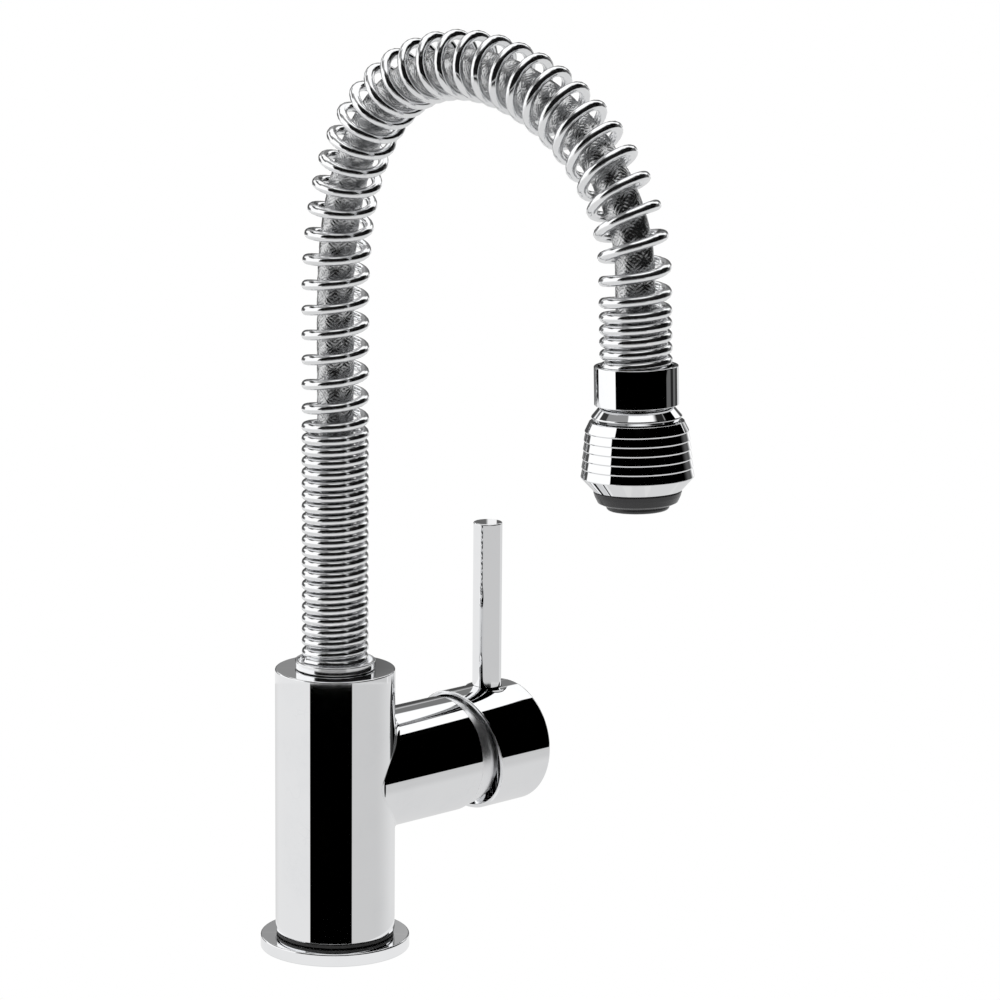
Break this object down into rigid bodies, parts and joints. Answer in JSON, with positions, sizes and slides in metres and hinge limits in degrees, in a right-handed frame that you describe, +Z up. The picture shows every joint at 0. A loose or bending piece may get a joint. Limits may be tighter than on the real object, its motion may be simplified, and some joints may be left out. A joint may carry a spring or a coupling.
{
  "type": "flexible kitchen faucet",
  "caption": "Chrome single-lever sink mixer: upright barrel with a side cartridge arm, rod lever, and a braided hose in a wire coil that arches over to a ribbed spray head with black nozzle.",
  "frame": {"origin": "centre of the foot's underside on the deck", "axes": "+Z up the barrel, the spout reaches towards -Y at rest, the cartridge arm and handle towards +X"},
  "size_m": [0.1265, 0.2171, 0.3742],
  "materials": {
    "chrome": "polished chrome plating",
    "steel": "plain stainless steel",
    "steel_braid": "braided stainless wire",
    "brass": "turned brass",
    "black_plastic": "moulded black plastic",
    "grey_plastic": "moulded grey acetal",
    "white_plastic": "moulded white acetal",
    "ceramic": "lapped ceramic",
    "rubber": "sealing rubber"
  },
  "bodies": {
    "base": {"base_flange": "chrome", "base_gasket": "rubber", "body_o_ring": "rubber", "mixer_body": "chrome", "stem_screw": "steel", "cartridge_housing": "grey_plastic", "hot_seal": "rubber", "cold_seal": "rubber", "outlet_seal": "rubber", "fixed_disc": "ceramic", "cartridge_nut": "brass", "dress_ring": "chrome"},
    "turret": {"carrier": "grey_plastic", "pivot_pin": "steel"},
    "handle": {"spindle": "steel", "handle_cap": "chrome", "lever_rod": "chrome", "grub_screw": "steel", "screw_plug": "chrome"},
    "valve_disc": {"moving_disc": "ceramic"},
    "spout": {"swivel_collar": "chrome", "slip_ring": "white_plastic", "spout_stem": "brass", "upper_stem_seal": "rubber", "lower_stem_seal": "rubber", "spring": "chrome", "hose_braid": "steel_braid", "hose_liner": "rubber", "lower_ferrule": "steel", "upper_ferrule": "steel", "hose_nipple": "brass", "head_collar": "chrome", "ball_stud": "brass"},
    "head_cradle": {"ball_seat": "white_plastic"},
    "head": {"neck_dome": "chrome", "head_core": "grey_plastic", "upper_core_seal": "rubber", "lower_core_seal": "rubber", "nozzle_insert": "black_plastic", "aerator_cage": "white_plastic", "upper_screen": "steel", "lower_screen": "steel"},
    "bell": {"ribbed_bell": "chrome", "nozzle_ring": "black_plastic"}
  },
  "joints": [
    {"name": "spout_swivel", "type": "hinge", "parent": "base", "child": "spout", "pos_m": [0, 0, 0.1153], "axis": [0, 0, 1], "continuous": true},
    {"name": "temperature_turn", "type": "hinge", "parent": "base", "child": "turret", "pos_m": [0.062, 0, 0.069], "axis": [1, 0, 0], "range_deg": [-45, 45]},
    {"name": "lever_tilt", "type": "hinge", "parent": "turret", "child": "handle", "pos_m": [0.062, 0, 0.069], "axis": [0, 1, 0], "range_deg": [0, 22]},
    {"name": "disc_slide", "type": "slide", "parent": "turret", "child": "valve_disc", "axis": [0, 0, 1], "range_m": [0, 0.0063]},
    {"name": "head_tilt", "type": "hinge", "parent": "spout", "child": "head_cradle", "pos_m": [0, -0.16558, 0.23811], "axis": [1, 0, 0], "range_deg": [-8, 8]},
    {"name": "head_spin", "type": "hinge", "parent": "head_cradle", "child": "head", "pos_m": [0, -0.16558, 0.23811], "axis": [0, -0.0372, -0.9993], "continuous": true},
    {"name": "spray_pull", "type": "slide", "parent": "head", "child": "bell", "axis": [0, -0.0372, -0.9993], "range_m": [0, 0.0035]}
  ],
  "couplings": [
    {"joint": "disc_slide", "follows": "lever_tilt", "m_per_rad": 0.0164}
  ]
}
